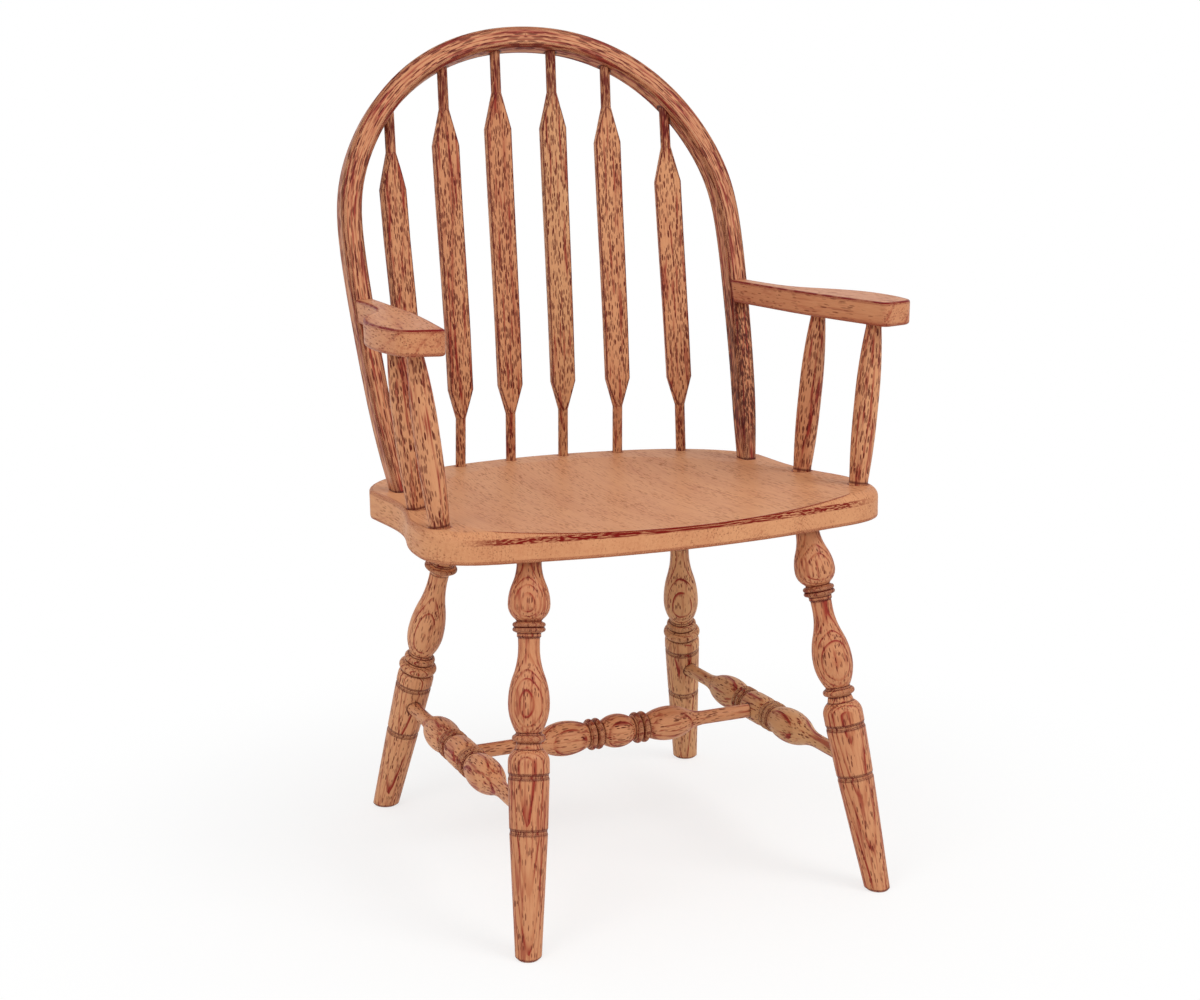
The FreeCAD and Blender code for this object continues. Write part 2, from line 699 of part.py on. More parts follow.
outer_points = bow_edge(1)
inner_points = bow_edge(-1)
bow_outline = [smooth_curve(outer_points),
               Part.LineSegment(vector(*outer_points[-1]), vector(*inner_points[-1])),
               smooth_curve(list(reversed(inner_points))),
               Part.LineSegment(vector(*inner_points[0]), vector(*outer_points[0]))]
bow_body, bow_strip = padded("bow_strip", "XZ_Plane", bow_outline, bow_depth, middle=True)
round_edges(bow_body, bow_strip, "bow_edges", bow_edge_round, lambda edge: edge.Length > bow_rise.value)
place_leaning(bow_body, bow_base, bow_rake_angle)

below_seat = cut_overrun * 3
bow_reach = bow_half_width + cut_overrun
bow_level = cut("bow_level", bow_body,
                [block("under_bow", (-bow_reach, bow_seat_y - below_seat / 2, seat_top - below_seat),
                       (bow_reach * 2, below_seat, below_seat), floor)])
bow_foot = bow_point(bow_half_width * bow_line_shares[1][0], floor, floor)
bow_under = bow_point(bow_half_width * bow_line_shares[0][0], floor, bow_rise * bow_line_shares[0][1])
opposite_foot = (-bow_foot[0], bow_foot[1], bow_foot[2])
opposite_under = (-bow_under[0], bow_under[1], bow_under[2])
bow_parts = [bow_level]
for side, foot, under in (("right", bow_foot, bow_under), ("left", opposite_foot, opposite_under)):
    bow_parts.append(bore(f"bow_tenon_{side}", toward(foot, under, -bow_tenon_diameter),
                          toward(foot, under, bow_tenon_length), bow_tenon_diameter))
bow_whole = fuse("bow_whole", bow_parts)
seat_tools.append(bore("bow_socket_right", toward(bow_foot, bow_under, -bow_tenon_diameter),
                       toward(bow_foot, bow_under, bow_tenon_length + socket_floor_gap),
                       bow_tenon_diameter + fit_gap * 2))
bow_tools = []

# The arrow spindles. Each is turned round and widest along its blade, bent, and planed flat in front
# and behind. Here round sections make the turning, and a bent slab keeps what the plane leaves.
spindle_foot_shares = {4: 0.132, 5: 0.395, 6: 0.68}
spindle_head_shares = {4: 0.149, 5: 0.435, 6: 0.734}
spindle_bend_shares = {4: 0.6, 5: 0.85, 6: 1.2}
spindle_fan_shares = {4: 0.05, 5: 0.35, 6: 1.0}
# Along the blade from its lower to its upper shoulder: place, width and bend.
blade_shares = [(0.0, 0.94, 1.0), (0.25, 0.955, 0.93), (0.5, 0.97, 0.62), (0.75, 0.985, 0.24),
                (1.0, 1.0, 0.0)]
taper_bend_share = 0.68


def spindle_stations(length, bend):
    """Distance along the spindle, diameter, bend and planed thickness, from one tenon to the other."""
    neck = spindle_neck_diameter
    unplaned = neck + fit_gap * 2
    blade_end = length - spindle_bow_tenon - upper_shoulder
    stations = [(-spindle_seat_tenon, neck, floor, unplaned), (floor, neck, floor, unplaned),
                (lower_taper, neck, bend * taper_bend_share, unplaned)]
    for along_share, width_share, bend_share in blade_shares:
        stations.append((lower_shoulder + (blade_end - lower_shoulder) * along_share,
                         blade_width * width_share, bend * bend_share, blade_thickness))
    stations.append((length - spindle_bow_tenon - upper_taper, neck, floor, unplaned))
    stations.append((length, neck, floor, unplaned))
    return stations


def planed_slab(name, stations):
    """A slab that follows the bend, seen from the side, and is as thick as the planed spindle."""
    front = [(-bend.value - planed.value / 2, along.value) for along, _, bend, planed in stations]
    back = [(-bend.value + planed.value / 2, along.value) for along, _, bend, planed in stations]
    corners = front + back[::-1]
    sides = [Part.LineSegment(vector(*first), vector(*last))
             for first, last in zip(corners, corners[1:] + corners[:1])]
    return padded(name, "YZ_Plane", sides, blade_width * 2, middle=True)[0]


for number in (4, 5, 6):
    foot_x = seat_half_width * spindle_foot_shares[number]
    rear = on_curve(rear_half_curve, 0, foot_x.value)
    foot = (foot_x, Size(repr(rear.y), rear.y) - spindle_inset, seat_top)
    head_x = bow_half_width * spindle_head_shares[number]
    crown = on_curve(bow_half_line, 0, head_x.value)
    tip_up = Size(repr(crown.y), crown.y) - bow_thickness / 2 + spindle_bow_tenon
    head = bow_point(head_x, floor, tip_up)
    fan = -blade_fan_angle * spindle_fan_shares[number]
    stations = spindle_stations(norm(difference(head, foot)), blade_bend * spindle_bend_shares[number])
    rings = []
    for index, (along, diameter, bend, _) in enumerate(stations):
        ring = doc.addObject("Part::Circle", f"spindle_{number}_ring_{index}")
        ring.setExpression("Radius", (diameter / 2).text)
        place_along(ring, foot, head, fan, bend, along)
        rings.append(ring)
    turning = doc.addObject("Part::Loft", f"spindle_{number}_turning")
    turning.Sections = rings
    turning.Solid = True
    turning.Ruled = True
    slab = planed_slab(f"spindle_{number}_slab", stations)
    place_along(slab, foot, head, fan)
    spindle = doc.addObject("Part::Common", f"spindle_{number}_planed")
    spindle.Base = turning
    spindle.Tool = slab
    keep(f"spindle_{number}", spindle)
    keep(f"spindle_{7 - number}", mirrored(f"spindle_{number}_mirror", spindle))
    hole = spindle_neck_diameter + fit_gap * 2
    for side, sign in (("right", 1), ("left", -1)):
        own_foot = (foot[0] * sign, foot[1], foot[2])
        own_head = (head[0] * sign, head[1], head[2])
        seat_tools.append(bore(f"spindle_{number}_seat_hole_{side}", toward(own_foot, own_head, lower_taper),
                               toward(own_foot, own_head, -(spindle_seat_tenon + socket_floor_gap)), hole))
        bow_tools.append(bore(f"spindle_{number}_bow_hole_{side}", toward(own_head, own_foot, upper_taper),
                              toward(own_head, own_foot, -socket_floor_gap), hole))

# The screw meets the arm's rear end a little above its underside, square to the bow.
screw_height_share = 0.34
half_depth = bow_depth / 2
screw_up = ((arm_under_height + arm_thickness * screw_height_share
             + (bow_seat_y - half_depth * cosine(bow_rake_angle)) * tangent(arm_slope_angle)
             - seat_top - half_depth * sine(bow_rake_angle))
            / (cosine(bow_rake_angle) - sine(bow_rake_angle) * tangent(arm_slope_angle)))
screw_side = on_curve(bow_half_line, 1, screw_up.value)
screw_x = Size(repr(screw_side.x), screw_side.x)


def screw_line(forward):
    """A point of the screw's axis, forward of the bow's middle plane."""
    return bow_point(screw_x, forward, screw_up)


# The arms. Each is a board with a narrow neck at the bow and a paddle in front. Shares are of the
# reach beyond the side of the bow and of the length in front of the origin.
arm_inner_shares = [(-0.189, -0.95), (-0.179, -0.6), (-0.159, -0.25), (-0.139, 0.05), (-0.075, 0.35),
                    (0.019, 0.65), (0.138, 1.0)]
arm_outer_shares = [(0.827, 0.925), (0.96, 0.72), (1.0, 0.5), (0.916, 0.28), (0.693, 0.09), (0.43, -0.07),
                    (0.257, -0.22), (0.188, -0.4), (0.168, -0.65), (0.168, -0.95)]
arm_inner = [(screw_side.x + arm_reach.value * across, -arm_length_front.value * along)
             for across, along in arm_inner_shares]
arm_outer = [(screw_side.x + arm_reach.value * across, -arm_length_front.value * along)
             for across, along in arm_outer_shares]
arm_outline = [smooth_curve(arm_inner), Part.LineSegment(vector(*arm_inner[-1]), vector(*arm_outer[0])),
               smooth_curve(arm_outer), Part.LineSegment(vector(*arm_outer[-1]), vector(*arm_inner[0]))]
arm_body, arm_board = padded("arm_board", "XY_Plane", arm_outline, arm_thickness)


def upright_at(edge, corner):
    """An upright edge that stands on a corner of the outline."""
    middle = edge.BoundBox.Center
    tall = edge.BoundBox.ZLength > arm_thickness.value / 2
    return tall and math.dist((middle.x, middle.y), corner) < same_place


inner_corner = round_edges(arm_body, arm_board, "arm_inner_corner", arm_inner_round,
                           lambda edge: upright_at(edge, arm_inner[-1]))
outer_corner = round_edges(arm_body, inner_corner, "arm_outer_corner", arm_outer_round,
                           lambda edge: upright_at(edge, arm_outer[0]))


def along_rim(edge):
    """An edge of the upper or lower face, apart from the sawn rear end."""
    level = lies_level(edge, 0.0) or lies_level(edge, arm_thickness.value)
    rear = edge.BoundBox.YMin > arm_inner[0][1] - same_place
    return level and not rear


round_edges(arm_body, outer_corner, "arm_edges", arm_edge_round, along_rim)
place_leaning(arm_body, (floor, floor, arm_under_height), -arm_slope_angle)


def arm_under(x, y):
    """A point of the underside of an arm."""
    return (x, y, arm_under_height + y * tangent(arm_slope_angle))


arm_rear = block("behind_arm", bow_point(floor, half_depth, -bow_rise),
                 ((bow_half_width + arm_reach) * 2, bow_rise, bow_rise * 3), bow_rake_angle)
screw_head_place = -half_depth + plug_length + socket_floor_gap
arm_tools = [arm_rear,
             bore("arm_pilot", screw_line(-half_depth), screw_line(screw_head_place + screw_length
                                                                 + socket_floor_gap),
                  screw_shank_diameter + fit_gap * 2)]

# The arm posts, turned with a long swelling, whose plain ends are their tenons.
post_shares = [(0.0, post_foot_diameter / 2, "line"), (0.03, post_foot_diameter / 2, "line"),
               (0.42, 1.0, "flat_end"), (0.54, 1.0, "line"), (0.97, post_end_diameter / 2, "flat_start"),
               (1.0, post_end_diameter / 2, "line")]
for place, seat_x, seat_y, arm_x, arm_y in (
        ("front", front_post_seat_x, front_post_seat_y, front_post_arm_x, front_post_arm_y),
        ("rear", rear_post_seat_x, rear_post_seat_y, rear_post_arm_x, rear_post_arm_y)):
    foot = (seat_x, seat_y, seat_top)
    head = arm_under(arm_x, arm_y)
    length = norm(difference(head, foot))
    stations = turned_stations(length, post_diameter / 2, post_shares)
    stations.insert(0, (post_foot_diameter / 2, -post_tenon_length, "line"))
    stations.append((post_end_diameter / 2, length + post_tenon_length, "line"))
    post = turned(f"arm_post_{place}_turning", stations)
    place_along(post, foot, head)
    keep_pair(f"arm_post_{place}", post)
    seat_tools.append(bore(f"post_seat_hole_{place}", toward(foot, head, post_diameter),
                           toward(foot, head, -(post_tenon_length + socket_floor_gap)),
                           post_foot_diameter + fit_gap * 2))
    arm_tools.append(bore(f"post_arm_hole_{place}", toward(head, foot, post_diameter),
                          toward(head, foot, -(post_tenon_length + socket_floor_gap)),
                          post_end_diameter + fit_gap * 2))

keep_pair("arm", cut("arm_bored", arm_body, arm_tools))

# The screws and plugs. Two of each, one at each arm.
thread_share = 0.6
screw_stations = [(screw_core_diameter / 4, floor, "line"),
                  (screw_core_diameter / 2, screw_core_diameter, "line"),
                  (screw_core_diameter / 2, screw_length * thread_share, "line"),
                  (screw_shank_diameter / 2, screw_length * thread_share + fit_gap, "line"),
                  (screw_shank_diameter / 2, screw_length - screw_head_diameter / 2, "line"),
                  (screw_head_diameter / 2, screw_length - fit_gap, "line"),
                  (screw_head_diameter / 2, screw_length, "line")]
screw = turned("arm_screw_turning", screw_stations)
place_along(screw, screw_line(screw_head_place + screw_length), screw_line(screw_head_place))
keep("arm_screws", fuse("arm_screws_both", [screw, mirrored("arm_screw_mirror", screw)]))
plug = bore("arm_plug_turning", screw_line(-half_depth), screw_line(-half_depth + plug_length),
            plug_diameter)
keep("arm_plugs", fuse("arm_plugs_both", [plug, mirrored("arm_plug_mirror", plug)]))
bow_hole_tools = [bore("plug_hole", screw_line(-half_depth - cut_overrun),
                       screw_line(screw_head_place + screw_head_diameter / 2), plug_diameter + fit_gap * 2),
                  bore("screw_hole", screw_line(screw_head_place), screw_line(half_depth + cut_overrun),
                       screw_shank_diameter + fit_gap * 2)]
for tool in bow_hole_tools:
    bow_tools.append(tool)
    bow_tools.append(mirrored(tool.Name + "_mirror", tool))
keep("bow", cut("bow_bored", bow_whole, bow_tools))

# The seat's sockets for legs, posts and bow are the same on both sides.
one_sided = [tool for tool in seat_tools[1:] if not tool.Name.startswith("spindle")]
seat_tools += [mirrored(tool.Name + "_mirror", tool) for tool in one_sided]
keep("seat", cut("seat_bored", seat_round, seat_tools))

doc.recompute()
for item in doc.Objects:
    faults = [state for state in item.State if state in ("Invalid", "Error")]
    if faults:
        raise RuntimeError(f"{item.Name} is {faults}: {item.getStatusString()}")
os.makedirs("parts", exist_ok=True)
for node, piece in sorted(pieces.items()):
    shape = piece.Shape
    if shape.isNull() or not shape.isValid() or not shape.Solids:
        raise RuntimeError(f"{node} has no valid solid")
    shape.exportStep(f"parts/{node}.step")
    print(f"{node}: {len(shape.Solids)} solid, {shape.Volume:.0f} cubic millimetres")
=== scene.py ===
import math

import bpy
import numpy as np
from mathutils import Euler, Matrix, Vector


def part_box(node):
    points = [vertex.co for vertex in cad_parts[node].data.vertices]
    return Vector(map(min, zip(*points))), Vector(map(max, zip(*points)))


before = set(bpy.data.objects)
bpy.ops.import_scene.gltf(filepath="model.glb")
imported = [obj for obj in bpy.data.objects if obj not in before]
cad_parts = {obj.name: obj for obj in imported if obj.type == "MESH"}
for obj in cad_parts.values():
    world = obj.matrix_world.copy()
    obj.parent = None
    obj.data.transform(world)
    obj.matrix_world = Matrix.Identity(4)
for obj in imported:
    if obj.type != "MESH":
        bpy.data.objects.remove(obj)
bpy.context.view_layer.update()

# A bow-back Windsor armchair in stained oak under satin lacquer. Every piece is cut along its grain and
# then turned, bent or planed, so each gets its own oak, laid along its own length.


# The seat.
# A plank glued up from boards of red oak that run from front to back, sawn to its outline and dished
# out for the sitter. It is stained and lacquered like the rest but wiped cleaner, so it is the palest.

seat_low, seat_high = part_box("seat")
seat_middle = (seat_low + seat_high) / 2
seat_top = seat_high.z

# The colours of the wood, of the stain in it, and of the painted shade on it.
summer_wood = "#d0956b"
spring_wood = "#b26c49"
faded_wood = "#b39a6a"
streaked_wood = "#8e3022"
stained_pore = "#58120d"
painted_shade_colour = "#4e0e0a"
painted_edge_shade_colour = "#74130e"


def linear(colour):
    """An sRGB hex colour as linear light with alpha: c/12.92, or ((c + 0.055)/1.055) to the 2.4."""
    parts = np.array([int(colour[place:place + 2], 16) / 255 for place in (1, 3, 5)])
    light = np.where(parts <= 0.04045, parts / 12.92, ((parts + 0.055) / 1.055) ** 2.4)
    return (*light, 1.0)


def empty_tree(owner):
    """The node tree of a material or a world, switched on and cleared."""
    owner.use_nodes = True
    owner.node_tree.nodes.clear()
    return owner.node_tree


def add(tree, kind, settings, sockets):
    """Adds a node with its settings, and gives its sockets a value or another node's output."""
    node = tree.nodes.new("ShaderNode" + kind)
    for name, value in settings.items():
        setattr(node, name, value)
    for name, value in sockets.items():
        if isinstance(value, bpy.types.NodeSocket):
            tree.links.new(value, node.inputs[name])
        else:
            node.inputs[name].default_value = value
    return node


# A ramp between two values, with soft ends.
smooth = {"interpolation_type": "SMOOTHSTEP"}


def set_stops(ramp, stops):
    """Gives a ramp of greys its stops, each a place from 0 to 1 and a grey."""
    ramp.elements.remove(ramp.elements[1])
    ramp.elements[0].position = stops[0][0]
    ramp.elements[0].color = (stops[0][1], stops[0][1], stops[0][1], 1.0)
    for place, grey in stops[1:]:
        stop = ramp.elements.new(place)
        stop.color = (grey, grey, grey, 1.0)


def blotches(tree, place, size, detail, roughness=0.5):
    """A noise in blotches of a real size: the noise of place / size, axis by axis.

    Its values seldom leave 0.3 to 0.7. What comes in with it does so between two levels of it.
    """
    shrunk = add(tree, "Mapping", {"vector_type": "POINT"},
                 {"Vector": place, "Scale": [1 / length for length in size]}).outputs["Vector"]
    return add(tree, "TexNoise", {"noise_dimensions": "3D"},
               {"Vector": shrunk, "Scale": 1.0, "Detail": detail, "Roughness": roughness})


def straight(start, grain):
    """Makes the space of a straight blank: its third axis runs along the grain from the start."""
    turn = Vector(grain).to_track_quat("Z", "Y").to_euler()

    def space(tree):
        place = add(tree, "TexCoord", {}, {}).outputs["Object"]
        return add(tree, "Mapping", {"vector_type": "TEXTURE"},
                   {"Vector": place, "Location": start, "Rotation": turn}).outputs["Vector"]

    return space


# The rings wander by up to half of 11 mm, and the tree tapers a little along its length. A stop is a
# place within one ring, and how much of the wood is spring wood there.
ring_wander = 0.011
ring_wander_size = (0.04, 0.04, 0.4)
tree_taper = 0.012
ring_stops = ((0.0, 1.0), (0.42, 0.0), (0.88, 0.1), (1.0, 1.0))


def growth_rings(tree, blank, ring_gap):
    """The rings: the fraction of reach / gap, and the share of spring wood at that fraction.

    The reach is the distance from the middle of the tree, bent by a slow noise. It takes in a little
    of the length along the grain too, because a tree tapers.
    """
    wander = blotches(tree, blank, ring_wander_size, detail=1.0, roughness=0.4).outputs["Color"]
    level = add(tree, "VectorMath", {"operation": "SUBTRACT"}, {0: wander, 1: (0.5, 0.5, 0.5)}).outputs[0]
    push = add(tree, "VectorMath", {"operation": "SCALE"}, {0: level, "Scale": ring_wander}).outputs[0]
    bent = add(tree, "VectorMath", {"operation": "ADD"}, {0: blank, 1: push}).outputs[0]
    flat = add(tree, "VectorMath", {"operation": "MULTIPLY"}, {0: bent, 1: (1.0, 1.0, tree_taper)}).outputs[0]
    reach = add(tree, "VectorMath", {"operation": "LENGTH"}, {0: flat}).outputs["Value"]
    count = add(tree, "Math", {"operation": "DIVIDE"}, {0: reach, 1: ring_gap}).outputs[0]
    part = add(tree, "Math", {"operation": "FRACT"}, {0: count}).outputs[0]
    ring = add(tree, "ValToRGB", {}, {"Fac": part})
    ring.color_ramp.interpolation = "EASE"
    set_stops(ring.color_ramp, ring_stops)
    return part, ring.outputs["Color"]


# The pores of red oak are about 0.3 mm wide. That wouldn't show, so they are drawn 1 to 3 mm wide.
# Half a pore's width lies between these two shares of the gap from one pore to the next, and its rim
# fades between two distances, as shares of that gap too.
pore_half_least = 0.34
pore_half_most = 0.6
pore_rim = (-0.05, 0.1)
# Pores crowd in clouds and in the spring wood. One whose draw is only just under its chance is faint.
cloud_levels = (0.32, 0.62)
cloud_chance = 1.7
spring_chance = 0.3
faint_draws = (-0.05, 0.2)


def open_pores(tree, blank, spring, clouds, pores, sparse, pore_size):
    """The pores: long thin cells, each picked or not by a draw of its own, and the stain's own draw.

    A cell is picked where its draw is under the chance. That is pores, times sparse between the
    clouds and times the clouds' chance within them, plus a share of the spring wood. The pore is what
    lies nearer to the cell's middle than half its width, which is drawn as well.
    """
    gap, run = pore_size
    chance = add(tree, "MapRange", {},
                 {"Value": clouds, "From Min": cloud_levels[0], "From Max": cloud_levels[1],
                  "To Min": sparse * pores, "To Max": cloud_chance * pores}).outputs["Result"]
    chance = add(tree, "Math", {"operation": "MULTIPLY_ADD"},
                 {0: spring, 1: spring_chance * pores, 2: chance}).outputs[0]
    thin = add(tree, "Mapping", {"vector_type": "POINT"},
               {"Vector": blank, "Scale": (1 / gap, 1 / gap, 1 / run)}).outputs["Vector"]
    cells = add(tree, "TexVoronoi", {"voronoi_dimensions": "3D", "feature": "F1"},
                {"Vector": thin, "Scale": 1.0, "Randomness": 1.0})
    draw = add(tree, "SeparateColor", {}, {"Color": cells.outputs["Color"]})
    half = add(tree, "Math", {"operation": "MULTIPLY_ADD"},
               {0: draw.outputs[1], 1: pore_half_most - pore_half_least, 2: pore_half_least}).outputs[0]
    inside = add(tree, "Math", {"operation": "SUBTRACT"}, {0: half, 1: cells.outputs["Distance"]}).outputs[0]
    inside = add(tree, "MapRange", smooth,
                 {"Value": inside, "From Min": pore_rim[0], "From Max": pore_rim[1]}).outputs["Result"]
    picked = add(tree, "Math", {"operation": "SUBTRACT"}, {0: chance, 1: draw.outputs[0]}).outputs[0]
    picked = add(tree, "MapRange", {}, {"Value": picked, "From Min": faint_draws[0],
                                        "From Max": faint_draws[1]}).outputs["Result"]
    pore = add(tree, "Math", {"operation": "MULTIPLY"}, {0: inside, 1: picked}).outputs[0]
    return pore, draw.outputs[2]


# The tone of the wood drifts slowly from place to place, and its fibres are fine lines of tone.
tone_drift = 0.4
tone_drift_size = (0.05, 0.05, 0.5)
tone_drift_levels = (0.3, 0.7)
fibre_contrast = 0.7
fibre_size = (0.0012, 0.0012, 0.02)
spring_share = 0.5


def sawn_wood(tree, blank, spring, tone, rings, faded):
    """The colour of the wood itself, from summer wood to spring wood.

    The share of the darker one is the tone and its slow drift, plus the fibres, which go to either
    side of their middle, plus a share of the rings. A greyer board is mixed with faded wood.
    """
    base = tone - fibre_contrast / 2
    drift = blotches(tree, blank, tone_drift_size, detail=3.0, roughness=0.6).outputs["Fac"]
    warmth = add(tree, "MapRange", {},
                 {"Value": drift, "From Min": tone_drift_levels[0], "From Max": tone_drift_levels[1],
                  "To Min": base, "To Max": base + tone_drift}).outputs["Result"]
    fibres = blotches(tree, blank, fibre_size, detail=2.0, roughness=0.6).outputs["Fac"]
    warmth = add(tree, "Math", {"operation": "MULTIPLY_ADD"},
                 {0: fibres, 1: fibre_contrast, 2: warmth}).outputs[0]
    share = add(tree, "Math", {"operation": "MULTIPLY_ADD", "use_clamp": True},
                {0: spring, 1: spring_share * rings, 2: warmth}).outputs[0]
    wood = add(tree, "Mix", {"data_type": "RGBA"},
               {"Factor": share, "A": linear(summer_wood), "B": linear(spring_wood)}).outputs["Result"]
    if faded:
        wood = add(tree, "Mix", {"data_type": "RGBA"},
                   {"Factor": faded, "A": wood, "B": linear(faded_wood)}).outputs["Result"]
    return wood


# The red stain takes in long streaks, and in a fine line along the start of each ring.
streak_size = (0.004, 0.004, 0.07)
streak_levels = (0.5, 0.68)
streak_share = 0.9
ring_line = 0.0009
ring_line_levels = (0.42, 0.6)
ring_line_share = 1.6


def red_streaks(tree, blank, part, clouds, rings, streaks, ring_gap):
    """How much of the red stain the wood took: long streaks of a noise, plus the line of each ring.

    The line fades over the first 0.9 mm of a ring, and shows only in the thick of the clouds.
    """
    streak = blotches(tree, blank, streak_size, detail=2.0).outputs["Fac"]
    streak = add(tree, "MapRange", smooth,
                 {"Value": streak, "From Min": streak_levels[0], "From Max": streak_levels[1],
                  "To Max": streak_share * streaks}).outputs["Result"]
    line = add(tree, "MapRange", smooth,
               {"Value": part, "From Min": ring_line / ring_gap, "From Max": 0.0}).outputs["Result"]
    patch = add(tree, "MapRange", {},
                {"Value": clouds, "From Min": ring_line_levels[0], "From Max": ring_line_levels[1],
                 "To Max": ring_line_share * rings}).outputs["Result"]
    return add(tree, "Math", {"operation": "MULTIPLY_ADD", "use_clamp": True},
               {0: line, 1: patch, 2: streak}).outputs[0]


# Painted shade starts where the surface turns by 3 degrees within the turn's width, and is
# full where it turns by 9. These are the cosines.
turn_starts = 0.9985
turn_full = 0.987
painted_shade_most = 0.95
# A band of painted shadow is drawn by a ramp that ends this far past the band's middle.
shadow_band_ramp_over = 0.02


def painted_shade_and_stain(tree, place, turn_width, shadow_band, more_shade_and_stain):
    """How much painted shade and stain lie on the surface: the most of the painted shade where it turns,
    the painted shadow ring and the extra marks.

    A surface turns where its normal, rounded over the turn's width, leaves its true normal: there
    their dot product falls below 1. That finds grooves, beads and arrises, which get painted shade. The
    painted shadow ring is square to the grain, and fades from its place along the piece to its half width on
    both sides.
    """
    about = add(tree, "Bevel", {"samples": 6}, {"Radius": turn_width}).outputs["Normal"]
    here = add(tree, "NewGeometry", {}, {}).outputs["Normal"]
    same = add(tree, "VectorMath", {"operation": "DOT_PRODUCT"}, {0: about, 1: here}).outputs["Value"]
    stain = add(tree, "MapRange", smooth, {"Value": same, "From Min": turn_starts, "From Max": turn_full,
                                           "To Max": painted_shade_most}).outputs["Result"]
    if shadow_band:
        middle, half, strength = shadow_band
        end = middle + shadow_band_ramp_over
        along = add(tree, "SeparateXYZ", {}, {"Vector": place}).outputs["Z"]
        part = add(tree, "Math", {"operation": "DIVIDE"}, {0: along, 1: end}).outputs[0]
        dark = add(tree, "ValToRGB", {}, {"Fac": part})
        set_stops(dark.color_ramp, ((0.0, 0.0), ((middle - half) / end, 0.0), (middle / end, strength),
                                    ((middle + half) / end, 0.0), (1.0, 0.0)))
        stain = add(tree, "Math", {"operation": "MAXIMUM"}, {0: stain, 1: dark.outputs["Color"]}).outputs[0]
    if more_shade_and_stain:
        stain = add(tree, "Math", {"operation": "MAXIMUM"}, {0: stain, 1: more_shade_and_stain(tree)}).outputs[0]
    return stain


# The lacquer is satin on the flat and dull in a pore, and the spring wood sinks under it a little.
flat_roughness = 0.45
pore_roughness = 0.65
coat_share = 0.2
coat_roughness = 0.3
pore_depth = 0.00015
spring_sink = 0.1
furrow_strength = 0.5


def lacquer(tree, colour, spring, pore, gloss):
    """Satin lacquer over the colour. It fills the pores only in part.

    So the height is 1, less a little in the spring wood and less the pore: each pore stays a fine
    furrow, and the lacquer in it is duller.
    """
    height = add(tree, "Math", {"operation": "MULTIPLY_ADD"}, {0: spring, 1: -spring_sink, 2: 1.0}).outputs[0]
    height = add(tree, "Math", {"operation": "SUBTRACT"}, {0: height, 1: pore}).outputs[0]
    bump = add(tree, "Bump", {}, {"Height": height, "Distance": pore_depth, "Strength": furrow_strength})
    dull = add(tree, "MapRange", {},
               {"Value": pore, "To Min": flat_roughness, "To Max": pore_roughness}).outputs["Result"]
    skin = add(tree, "BsdfPrincipled", {},
               {"Base Color": colour, "Roughness": dull, "Specular IOR Level": gloss,
                "Coat Weight": coat_share * gloss, "Coat Roughness": coat_roughness,
                "Normal": bump.outputs["Normal"]})
    add(tree, "OutputMaterial", {}, {"Surface": skin.outputs["BSDF"]})


# The clouds that the pores crowd in are this much longer along the grain than across it, and a pore
# holds between this share and all of its stain.
cloud_stretch = 5.0
held_least = 0.5


def oak(name, space, heart, log=0.0, pores=0.6, tone=0.0, rings=0.5, streaks=0.5, ring_gap=0.0048,
        pore_size=(0.0023, 0.0105), cloud_width=0.012, sparse=0.4, inked=1.0, faded=0.0, turn_width=0.0022,
        shadow_band=None, more_shade_and_stain=None, stain=painted_shade_colour, gloss=0.15):
    """Stained oak in the space of its blank.

    heart is how far the blank lies from the middle of the tree, log how far up it was cut, and
    ring_gap the width of a ring. pores, tone, rings, streaks, faded and gloss are amounts. pore_size
    is the gap between pores and their run along the grain, cloud_width the size of the clouds that
    they crowd in, sparse the share left between clouds, and inked how much stain a pore holds.
    turn_width, shadow_band and more_shade_and_stain say where painted shade, and on the bow and the spindles'
    necks darker grain, lie on the surface, and stain is the colour of both.
    """
    material = bpy.data.materials.new(name)
    tree = empty_tree(material)
    place = space(tree)
    blank = add(tree, "Mapping", {"vector_type": "POINT"},
                {"Vector": place, "Location": (heart[0], heart[1], log)}).outputs["Vector"]
    part, spring = growth_rings(tree, blank, ring_gap)
    cloud_size = (cloud_width, cloud_width, cloud_stretch * cloud_width)
    clouds = blotches(tree, blank, cloud_size, detail=2.0).outputs["Fac"]
    pore, draw = open_pores(tree, blank, spring, clouds, pores, sparse, pore_size)
    held = add(tree, "MapRange", {},
               {"Value": draw, "To Min": held_least * inked, "To Max": inked}).outputs["Result"]
    depth = add(tree, "Math", {"operation": "MULTIPLY"}, {0: pore, 1: held}).outputs[0]
    colour = sawn_wood(tree, blank, spring, tone, rings, faded)
    # Two stains and then the painted shade lie over the wood, one after the other.
    for share, dye in ((red_streaks(tree, blank, part, clouds, rings, streaks, ring_gap), streaked_wood),
                       (depth, stained_pore),
                       (painted_shade_and_stain(tree, place, turn_width, shadow_band, more_shade_and_stain), stain)):
        colour = add(tree, "Mix", {"data_type": "RGBA"},
                     {"Factor": share, "A": colour, "B": linear(dye)}).outputs["Result"]
    lacquer(tree, colour, spring, pore, gloss)
    return material


def finish(node, material):
    """Puts a material on every slot of a piece."""
    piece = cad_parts[node]
    if not piece.material_slots:
        piece.data.materials.append(material)
    for slot in piece.material_slots:
        slot.material = material


def broken_shade_and_stain(tree, place, masks, size, detail, levels, shares):
    """Painted shade and darker grain in patches of a real size, where every mask lets them be.

    Between the two levels of the patches' noise it goes from the first share to the second, and that
    is multiplied by all the masks.
    """
    patches = blotches(tree, place, size, detail).outputs["Fac"]
    share = add(tree, "MapRange", {}, {"Value": patches, "From Min": levels[0], "From Max": levels[1],
                                       "To Min": shares[0], "To Max": shares[1]}).outputs["Result"]
    for mask in masks:
        share = add(tree, "Math", {"operation": "MULTIPLY"}, {0: share, 1: mask}).outputs[0]
    return share
